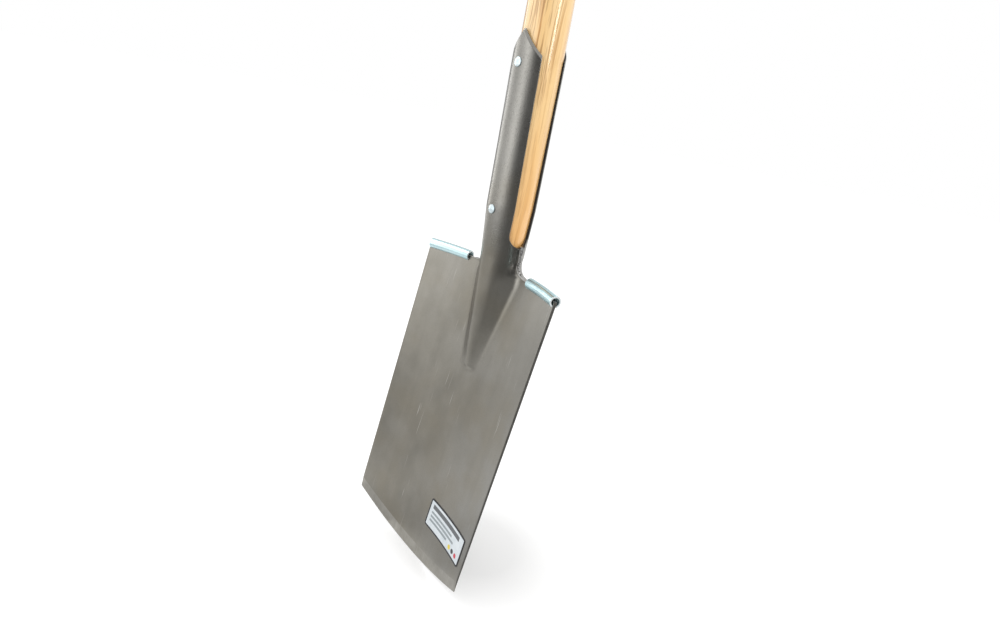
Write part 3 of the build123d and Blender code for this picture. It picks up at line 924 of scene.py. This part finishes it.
def blade_shares():
    """Places of the blade's rows from its top (0) to its cutting edge (1), close together at the bevel."""
    depth = -BLADE_FOOT
    bevel_top = depth - BEVEL_TOP_SHARE * EDGE_BEVEL_WIDTH
    shares = [row / BLADE_ROWS * bevel_top / depth for row in range(1, BLADE_ROWS + 1)]
    for bevel_share in BEVEL_SHARES:
        shares.append(1 - bevel_share * EDGE_BEVEL_WIDTH / depth)
    return shares


SIDE_SHARES = [length / SIDE_SPAN for length in column_lengths(SIDE_SPAN, SIDE_COLUMNS, SIDE_ROUNDING)]


def blade_vertex(column, share):
    """Outer and inner point of the blade on a column, at a share of the way down."""
    across = abs(column)
    from_side = SIDE_SPAN
    if across <= MIDDLE_COLUMNS:
        foot_x = SHOULDER_FOOT * across / MIDDLE_COLUMNS
    else:
        side_share = SIDE_SHARES[across - MIDDLE_COLUMNS]
        from_side = (1 - side_share) * SIDE_SPAN
        foot_x = between(SHOULDER_FOOT, BLADE_FOOT_WIDTH / 2, side_share)
    height = share * edge_height(foot_x)
    section = Section(-1, height)
    if across <= MIDDLE_COLUMNS:
        length = section.length_to(SHOULDER_FOOT) * across / MIDDLE_COLUMNS
    else:
        top_x = between(SHOULDER_FOOT, BLADE_WIDTH / 2, side_share)
        length = section.length_to(between(top_x, foot_x, share))
    from_edge = (1 - share) * -BLADE_FOOT
    ground = max(0.0, 1 - from_edge / EDGE_BEVEL_WIDTH) * (FOOT_THICKNESS - EDGE_THICKNESS)
    thickness = blade_thickness(height)
    cut = rounding(from_side, min(SIDE_ROUNDING, SIDE_ROUNDING_SHARE * (thickness - ground)))
    return sheet_vertex(section, side_sign(column), length, thickness, ground + cut, cut)


def blade_rows():
    """Rows of the whole front forging: strap, top edge and blade."""
    rows = strap_rows(-1, FRONT_STRAP_TIP)
    reach = MIDDLE_COLUMNS + SIDE_COLUMNS
    for column in range(MIDDLE_COLUMNS + 1, reach + 1):
        rows[-1][column] = blade_vertex(column, 0.0)
        rows[-1][-column] = blade_vertex(-column, 0.0)
    for share in blade_shares():
        rows.append({column: blade_vertex(column, share) for column in both_sides(reach)})
    return rows


def tongue_distance(x, down):
    """Distance of a point from the half-round end of the tongue, at a depth below the tongue's shoulder."""
    inside = math.hypot(x / TONGUE_HALF_WIDTH, down / TONGUE_ROUND_DEPTH)
    slope = math.hypot(x / TONGUE_HALF_WIDTH**2, down / TONGUE_ROUND_DEPTH**2)
    return (1 - inside) * inside / max(slope, 1e-6)


def tongue_rows():
    """Rows of the whole rear strap, whose lower end is a half-round tongue."""
    rows = strap_rows(1, REAR_STRAP_TIP)
    tongue_steps = 60
    heights = [-LEAST_STEP, -TONGUE_SHOULDER_DEPTH / 2]
    for step in range(tongue_steps):
        drop = TONGUE_ROUND_DEPTH * math.sin(QUARTER_TURN * step / tongue_steps)
        heights.append(-TONGUE_SHOULDER_DEPTH - drop)
    for height in heights:
        down = max(0.0, -height - TONGUE_SHOULDER_DEPTH)
        section = Section(1, height)
        edge = section.length_to(TONGUE_HALF_WIDTH * math.sqrt(1 - (down / TONGUE_ROUND_DEPTH) ** 2))
        lengths = column_lengths(edge, MIDDLE_COLUMNS, min(STRAP_ROUNDING, edge / 2))
        row = {}
        for column in both_sides(MIDDLE_COLUMNS):
            length = lengths[abs(column)]
            across = section.at(length)[0][0]
            cut = rounding(tongue_distance(across, down), STRAP_ROUNDING)
            row[column] = sheet_vertex(section, side_sign(column), length, STRAP_THICKNESS, cut)
        rows.append(row)
    return rows


# Pieces


def new_mesh(name, vertices, faces, materials):
    mesh = bpy.data.meshes.new(name)
    mesh.from_pydata(vertices, [], faces)
    for material in materials:
        mesh.materials.append(material)
    return mesh


def link_object(name, data):
    """New object in the scene for a mesh, a lamp or a camera."""
    made = bpy.data.objects.new(name, data)
    bpy.context.scene.collection.objects.link(made)
    return made


def add_piece(name, vertices, faces, materials, slot, *nodes):
    """New closed mesh piece that rides with the spade and stands for the nodes that are named."""
    mesh = new_mesh(name, vertices, faces, materials)
    outward = bmesh.new()
    outward.from_mesh(mesh)
    bmesh.ops.recalc_face_normals(outward, faces=outward.faces)
    outward.to_mesh(mesh)
    outward.free()
    mesh.shade_smooth()
    mesh.set_sharp_from_angle(angle=SHARP_ANGLE)
    piece = link_object(name, mesh)
    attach(piece, "root")
    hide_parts(*nodes)
    return piece


def round_edges(piece, width):
    bevel = piece.modifiers.new("rounded_edges", "BEVEL")
    bevel.width = width
    bevel.segments = 3
    bevel.limit_method = "ANGLE"
    bevel.angle_limit = ROUNDED_ANGLE
    bevel.harden_normals = True


def in_one_row(loops):
    return [point for loop in loops for point in loop]


def bridge(loops):
    """Faces between closed loops that have as many points each, with the loops' points in one row."""
    count = len(loops[0])
    faces = []
    for start in range(0, (len(loops) - 1) * count, count):
        for point in range(count):
            after = (point + 1) % count
            faces.append((start + point, start + after, start + count + after, start + count + point))
    return faces


def round_piece(name, loops, materials, slot, *nodes):
    """Piece skinned over closed loops, with a flat face on its first and last loop."""
    count = len(loops[0])
    total = len(loops) * count
    faces = bridge(loops) + [tuple(range(count)), tuple(range(total - count, total))]
    return add_piece(name, in_one_row(loops), faces, materials, slot, *nodes)


def lathe_loops(profile, segments, point_at):
    """Loops about an axis: profile has pairs of radius and place along it, point_at gives the points."""
    loops = []
    for radius, along in profile:
        loop = []
        for segment in range(segments):
            angle = 2 * math.pi * segment / segments
            loop.append(point_at(radius * math.cos(angle), radius * math.sin(angle), along))
        loops.append(loop)
    return loops


def sheet_piece(name, rows, materials, rim_material, slot, node, ground_rows=0):
    """Closed sheet between the outer and inner points of its rows.

    Rim_material picks a rim's material by height, and the last ground_rows have the last one outside."""
    vertices = []
    index = {}
    for row_number, row in enumerate(rows):
        for column, pair in row.items():
            index[row_number, column] = len(vertices)
            vertices.extend(pair)
    faces = []
    ground_faces = []
    edges = {}
    for row_number in range(1, len(rows)):
        above = row_number - 1
        for column in rows[row_number]:
            corners = ((above, column), (above, column + 1), (row_number, column + 1), (row_number, column))
            if not all(corner in index for corner in corners):
                continue
            outer = [index[corner] for corner in corners]
            if row_number >= len(rows) - ground_rows:
                ground_faces.append(len(faces))
            faces.append(outer)
            edges.update(dict.fromkeys(zip(outer, outer[1:] + outer[:1])))
    outer_count = len(faces)
    faces += [[corner + 1 for corner in reversed(face)] for face in faces]
    for first, second in edges:
        if (second, first) not in edges:
            faces.append([second, first, first + 1, second + 1])
    piece = add_piece(name, vertices, faces, materials, slot, node)
    for number in ground_faces:
        piece.data.polygons[number].material_index = len(materials) - 1
    for polygon in piece.data.polygons[2 * outer_count:]:
        polygon.material_index = materials.index(rim_material(polygon.center.z - TREAD_LINE))


def add_forgings(forged, cut, painted_shade_rim, rim, ground):
    """The front forging and the rear strap."""
    materials = [forged, cut, painted_shade_rim, rim, ground]
    bevel_rows = len(BEVEL_SHARES) - 2

    # Rims along the gap by the wood get the near-black painted shade.
    def front_rim(height):
        if height > point_foot(FRONT_STRAP_TIP):
            return forged
        if height > GAP_BOTTOM:
            return painted_shade_rim
        return rim if height > NECK_RIM_FOOT else cut

    def rear_rim(height):
        return rim if NECK_RIM_FOOT < height < GAP_BOTTOM else painted_shade_rim

    sheet_piece("blade_forging", blade_rows(), materials, front_rim, "forged_steel", "blade", bevel_rows)
    sheet_piece("rear_strap_forging", tongue_rows(), materials, rear_rim, "forged_steel", "rear_strap")


def tread_profile(around_steps):
    """Section of a tread as a closed row of places outward and up: round the outside, back round the bore."""
    profile = []
    for radius in (TREAD_RADIUS, TREAD_BORE):
        gap = math.asin(TREAD_SLIT / radius)
        angles = [between(gap, 2 * math.pi - gap, step / around_steps) for step in range(around_steps + 1)]
        if radius == TREAD_BORE:
            angles.reverse()
        profile += [(radius * math.sin(angle), -radius * math.cos(angle)) for angle in angles]
    return profile


def add_tread(side, sign, zinc, tread_end_painted_highlight):
    """Slit tube whose end faces carry a painted highlight, bent to the dish of the blade, that covers the top
    edge of the blade.
    """
    section = Section(-1, 0.0)
    middle_radius = section.dish + BLADE_THICKNESS / 2
    start = math.asin(TREAD_START / middle_radius)
    end = math.asin(BLADE_WIDTH / 2 / middle_radius)
    around_steps = 40
    along_steps = 36
    profile = tread_profile(around_steps)
    loops = []
    for step in range(along_steps + 1):
        turn = between(start, end, step / along_steps)
        loop = []
        for outward, up in profile:
            reach = middle_radius + outward
            loop.append(place(sign * reach * math.sin(turn), section.dish_y + reach * math.cos(turn), up))
        loops.append(loop)
    faces = bridge(loops)
    count = len(profile)
    for first in (0, along_steps * count):
        for step in range(around_steps):
            inner = count - 1 - step
            faces.append((first + step, first + step + 1, first + inner - 1, first + inner))
    name = "tread_" + side
    piece = add_piece(name + "_tube", in_one_row(loops), faces, [zinc, tread_end_painted_highlight], "zinc_plate", name)
    # The pale end faces are a painted highlight.
    for polygon in piece.data.polygons[-2 * around_steps:]:
        polygon.material_index = 1
    round_edges(piece, TREAD_ROUNDING)


def rivet_profile():
    """Radius and place along the rivet from the front dome to the rear one, about the shaft's axis."""
    dome_rise = RIVET_RISE - RIVET_RIM
    ball = arc_radius(RIVET_HEAD, dome_rise)
    dome_steps = 12
    head = []
    for step in range(1, dome_steps + 1):
        radius = (RIVET_HEAD - RIVET_CORNER) * step / dome_steps
        head.append((radius, STRAP_RADIUS + RIVET_RISE - ball + math.sqrt(ball**2 - radius**2)))
    head.append((RIVET_HEAD - 0.3 * RIVET_CORNER, STRAP_RADIUS + RIVET_RIM))
    head.append((RIVET_HEAD, STRAP_RADIUS + RIVET_RIM - RIVET_CORNER))
    head.append((RIVET_HEAD, STRAP_RADIUS - RIVET_SUNK))
    head.append((RIVET_SHANK, STRAP_RADIUS - RIVET_SUNK))
    return [(radius, -along) for radius, along in head] + head[::-1]


def add_rivet(name, height, zinc):
    """Rivet through both straps, with hammered domes."""
    segments = 48
    size, waves = RIVET_WAVES

    def point_at(across, up, along):
        point = place(across, along, height + up)
        return point + Vector((0, size * noise.noise(point * waves), 0))

    loops = lathe_loops(rivet_profile(), segments, point_at)
    round_piece(name + "_headed", loops, [zinc], "zinc_plate", name)


def weld_path():
    """Points of the right weld from the gap down, with the direction across it and the length so far."""
    section = Section(-1, 0.0)
    seam_radius = section.dish + BLADE_THICKNESS + PLATE_FIT / 2
    seam_y = section.dish_y + math.sqrt(seam_radius**2 - NECK_HALF_WIDTH**2)
    line_x = NECK_HALF_WIDTH - WELD_RADIUS + WELD_RISE
    straight = GAP_BOTTOM + WELD_TOP_OVERLAP - SHOULDER_RADIUS
    bend_radius = SHOULDER_FOOT - line_x
    total = straight + bend_radius * WELD_BEND
    steps = 110
    path = []
    for step in range(steps + 1):
        length = total * step / steps
        angle = max(0.0, length - straight) / bend_radius
        across = Vector((math.cos(angle), 0, math.sin(angle)))
        x = SHOULDER_FOOT - bend_radius * math.cos(angle)
        height = SHOULDER_RADIUS - bend_radius * math.sin(angle) + max(0.0, straight - length)
        path.append((Vector((x, seam_y, height)), across, length))
    return path


def add_weld(side, sign, weld):
    """Rippled weld bead on the seam between the two sheets, with a nugget at its top."""
    around_steps = 20
    size, waves = WELD_WAVES
    loops = []
    for centre, across, length in weld_path():
        ripple = abs(math.sin(math.pi * length / WELD_RIPPLE_LENGTH))
        nugget = WELD_NUGGET * math.exp(-((length / WELD_NUGGET_LENGTH) ** 2))
        radius = WELD_RADIUS + WELD_RIPPLE * ripple + nugget
        loop = []
        for step in range(around_steps):
            angle = 2 * math.pi * step / around_steps
            point = centre + (across * math.cos(angle) + Vector((0, math.sin(angle), 0))) * radius
            point += across * size * noise.noise(point * waves)
            loop.append(place(sign * point.x, point.y, point.z))
        loops.append(loop)
    name = "neck_weld_" + side
    round_piece(name + "_bead", loops, [weld], "weld_steel", name)


def label_point(across, up, lift):
    """Point in front of the blade's face at a place on the label, given in the plane of the blade."""
    back, front = LABEL_SEARCH
    for _ in range(BISECTIONS):
        ahead = (back + front) / 2
        y = BLADE_SETBACK + up * math.sin(BLADE_LEAN) - ahead * math.cos(BLADE_LEAN)
        height = up * math.cos(BLADE_LEAN) + ahead * math.sin(BLADE_LEAN)
        radius = dish_radius(height)
        from_face = radius - math.hypot(across, y - blade_front(height) + radius)
        if from_face < lift:
            back = ahead
        else:
            front = ahead
    point = place(across, y, height)
    return point - Vector((0, forging_wobble(point), 0))


def add_label(film):
    """Thin label with round corners that follows the dish of the blade."""
    half_columns = 20
    corner_steps = 8
    straight_rows = 10
    straight = LABEL_HEIGHT / 2 - LABEL_CORNER
    corner = []
    for step in range(corner_steps):
        corner.append(straight + LABEL_CORNER * math.cos(QUARTER_TURN * step / corner_steps))
    middle = [between(straight, -straight, row / straight_rows) for row in range(straight_rows + 1)]
    rows = []
    for offset in corner + middle + [-value for value in reversed(corner)]:
        past = max(0.0, abs(offset) - straight)
        half_width = LABEL_WIDTH / 2 - LABEL_CORNER + math.sqrt(max(LABEL_CORNER**2 - past**2, 0.0))
        up = LABEL_LEVEL + offset
        row = {}
        for column in both_sides(half_columns):
            across = LABEL_MIDDLE + half_width * column / half_columns
            row[column] = (label_point(across, up, LABEL_LIFT), label_point(across, up, LABEL_GLUE))
        rows.append(row)
    sheet_piece("blade_label_film", rows, [film], lambda height: film, "label_film", "blade_label")


def shaft_profile():
    """Pairs of radius and height from the shaft's tip to the top of its tenon."""
    top_rings = 8
    profile = []
    steps = (SHAFT_TIP,) + SHAFT_STEPS
    for (low, low_radius), (high, high_radius) in zip(steps, steps[1:]):
        rings = math.ceil((high - low) / SHAFT_RING_LENGTH)
        profile += zip(spaced(low_radius, high_radius, rings), spaced(low, high, rings))
    seat, seat_radius = SHAFT_STEPS[-1]
    profile += [(seat_radius, seat), (TENON_RADIUS, seat)]
    top = GRIP_HEIGHT + GRIP_RADIUS
    profile += [(TENON_RADIUS * (1 - ring / top_rings), top) for ring in range(top_rings)]
    return profile


def add_shaft(wood):
    """Turned shaft, shaped a little by hand, whose tenon ends just below the top of the grip."""
    segments = 72
    socket_top = SHAFT_STEPS[0][0]
    forth, back = SHAFT_SETBACK_SPANS

    def point_at(across, ahead, height):
        into_socket = limited((socket_top - height) / (socket_top - SHAFT_TIP[0]))
        set_back = SHAFT_SETBACK * (smooth_step(height, *forth) - smooth_step(height, *back))
        set_back += SHAFT_TIP_SETBACK * into_socket
        swelling = 0.0
        for middle, reach, size in SHAFT_SWELLINGS:
            swelling += size * math.exp(-(((height - middle) / reach) ** 2))
        grip_top = GRIP_HEIGHT + math.sqrt(GRIP_RADIUS**2 - ahead**2) - TENON_SUNK
        return place(across * (1 + swelling), ahead * (1 + swelling) + set_back, min(height, grip_top))

    loops = lathe_loops(shaft_profile(), segments, point_at)
    round_piece("handle_shaft_wood", loops, [wood], "ash_wood", "handle_shaft")


def dress_node(name, material):
    """Gives a node of the frame a finished material."""
    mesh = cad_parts[name].data
    mesh.materials.clear()
    mesh.materials.append(material)


# Stage


def add_stage_mesh(name, vertices, faces, material):
    made = link_object(name, new_mesh(name, vertices, faces, [material]))
    return made


def add_floor():
    reach = FLOOR_REACH
    corners = [(-reach, -reach, 0), (reach, -reach, 0), (reach, reach, 0), (-reach, reach, 0)]
    add_stage_mesh("floor", corners, [(0, 1, 2, 3)], floor_material())


def add_screen(name, inner, outer, stops):
    """Curved screen that only reflections see, between two pairs of radius and height.

    Stops are pairs of azimuth, in degrees from the front towards the right, and brightness."""
    start = stops[0][0]
    end = stops[-1][0]
    steps = 48
    vertices = []
    for step in range(steps + 1):
        azimuth = math.radians(between(start, end, step / steps))
        for radius, height in (inner, outer):
            vertices.append((radius * math.sin(azimuth), -radius * math.cos(azimuth), height))
    faces = [(2 * step, 2 * step + 2, 2 * step + 3, 2 * step + 1) for step in range(steps)]
    screen = add_stage_mesh(name, vertices, faces, screen_material(name, stops))
    screen.visible_camera = False
    screen.visible_diffuse = False
    screen.visible_transmission = False
    screen.visible_shadow = False


def add_screens():
    """A wall round the front of the spade, and rings of cloth on the floor in front of the wall."""
    wall_stops = [
        (-140, 2.6), (-104, 2.8), (-88, 2.8), (-75, 1.85), (-62, 1.3), (-46, 1.1), (-30, 1.3), (-16, 1.72),
        (-5, 2.1), (2, 1.8), (10, 1.35), (17, 0.78), (25, 0.45), (34, 0.25), (45, 0.22), (92, 0.2),
        (118, 0.25), (150, 0.5),
    ]
    cloth_stops = {
        "toe_cloth": [
            (-150, 0.85), (-37, 0.82), (-19, 0.72), (18, 0.62), (30, 0.75), (44, 1.0), (150, 1.0),
        ],
        "foot_cloth": [
            (-150, 1.15), (-60, 1.12), (-48, 1.14), (-38, 1.0), (-30, 0.85), (-15, 0.6), (15, 0.48),
            (45, 0.3), (105, 0.3), (122, 1.0), (150, 1.0),
        ],
        "inner_cloth": [
            (-150, 1.15), (-75, 1.1), (-60, 1.02), (-45, 0.88), (-30, 0.7), (-15, 0.53), (15, 0.55),
            (45, 0.3), (119, 0.22), (133, 1.0), (150, 1.0),
        ],
        "near_cloth": [
            (-150, 1.25), (-110, 1.25), (-92, 1.04), (-75, 1.06), (-60, 0.9), (-45, 0.755), (-30, 0.67),
            (-15, 0.43), (0, 0.45), (15, 0.5), (30, 0.45), (45, 0.28), (119, 0.22), (133, 1.0), (150, 1.0),
        ],
        "far_cloth": [
            (-150, 0.9), (-90, 0.78), (-75, 0.68), (-60, 0.58), (-45, 0.75), (-30, 0.82), (-15, 0.92),
            (2, 0.82), (11, 0.5), (20, 0.32), (38, 0.2), (119, 0.16), (133, 1.2), (150, 1.2),
        ],
    }
    low, high = WALL_HEIGHTS
    add_screen("wall", (WALL_RADIUS, low), (WALL_RADIUS, high), wall_stops)
    for (name, stops), inner, outer in zip(cloth_stops.items(), CLOTH_EDGES, CLOTH_EDGES[1:]):
        add_screen(name, (inner, CLOTH_HEIGHT), (outer, CLOTH_HEIGHT), stops)


def add_lamp(name, location, target, size, power, in_reflections=True):
    data = bpy.data.lights.new(name, "AREA")
    data.shape = "RECTANGLE"
    data.size, data.size_y = size
    data.energy = power
    lamp = link_object(name, data)
    lamp.location = location
    lamp.rotation_mode = "QUATERNION"
    lamp.rotation_quaternion = (Vector(target) - Vector(location)).to_track_quat("-Z", "Y")
    lamp.visible_camera = False
    lamp.visible_glossy = in_reflections


def set_world():
    """White surroundings for the camera and for reflections, and an even soft light."""
    soft_light = 0.9
    world = bpy.data.worlds.new("studio")
    bpy.context.scene.world = world
    world.use_nodes = True
    tree = world.node_tree
    background = tree.nodes["Background"]
    background.inputs["Color"].default_value = (1, 1, 1, 1)
    strength = range_map(tree, seen_mask(tree), 0.0, 1.0, soft_light, 1.0)
    tree.links.new(strength, background.inputs["Strength"])


def add_camera():
    data = bpy.data.cameras.new("camera")
    data.sensor_width = SENSOR_WIDTH_MM
    data.lens = SENSOR_WIDTH_MM * FOCAL_PIXELS / PHOTO_WIDTH_PIXELS
    data.clip_start = 0.01
    camera = link_object("camera", data)
    back = CAMERA_RIGHT.cross(CAMERA_UP)
    turned = Matrix((CAMERA_RIGHT, CAMERA_UP, back)).transposed().to_4x4()
    camera.matrix_world = Matrix.Translation(CAMERA_PLACE) @ turned
    bpy.context.scene.camera = camera


def build_spade():
    tread_zinc = zinc_material("zinc_plate", (0.58, 0.81, 0.86), (0.70, 0.93, 0.97), tread_painted_reflections)
    rivet_zinc = zinc_material("rivet_zinc", (0.64, 0.75, 0.79), (0.82, 0.91, 0.94), rivet_painted_shade)
    # Pale colour of the treads' end faces: a painted highlight.
    tread_end_painted_highlight = cut_metal_material("tread_end_painted_highlight", (0.80, 0.84, 0.85), (0.88, 0.92, 0.93))
    weld = weld_material()
    shaft_wood = ash_material("ash_shaft", turn=(0.012, 0.02, 0), flat_side=(0.1, -0.99, 0))
    grip_wood = ash_material("ash_grip", turn=(0, math.radians(90), 0.02), flat_side=(0, -0.6, 0.8))
    cut = cut_metal_material("cut_steel", (0.07, 0.066, 0.06), (0.12, 0.114, 0.104))
    # Near-black rims along the gap by the wood: painted shade over the dark scale of sheared edges.
    painted_shade_rim = cut_metal_material("painted_shade_rim_steel", (0.012, 0.01, 0.009), (0.035, 0.029, 0.027))
    rim = cut_metal_material("rim_steel", (0.36, 0.352, 0.335), (0.52, 0.51, 0.49))
    add_forgings(forged_steel_material(), cut, painted_shade_rim, rim, ground_steel_material())
    for side, sign in (("left", -1), ("right", 1)):
        add_tread(side, sign, tread_zinc, tread_end_painted_highlight)
        add_weld(side, sign, weld)
    for name, height in RIVET_HEIGHTS.items():
        add_rivet(name, height, rivet_zinc)
    add_label(label_material())
    add_shaft(shaft_wood)
    dress_node("t_grip", grip_wood)
    dress_node("grip_wedge", wedge_material())
    dress_node("grip_pin", pin_material())


def build_studio():
    add_floor()
    add_screens()
    add_lamp("right_tall", (1.8, 0.135, 1.12), (0, 0, 0.8), size=(0.25, 0.95), power=6.5)
    add_lamp("right_fill", (1.5, 0.7, 1.1), (0, 0, 0.5), size=(1.0, 1.0), power=2, in_reflections=False)
    add_lamp("left_top", (-1.2, -0.9, 1.8), (0, 0, 0.4), size=(1.4, 1.4), power=14)
    set_world()
    add_camera()


build_spade()
build_studio()
bpy.context.scene.view_settings.view_transform = "Standard"
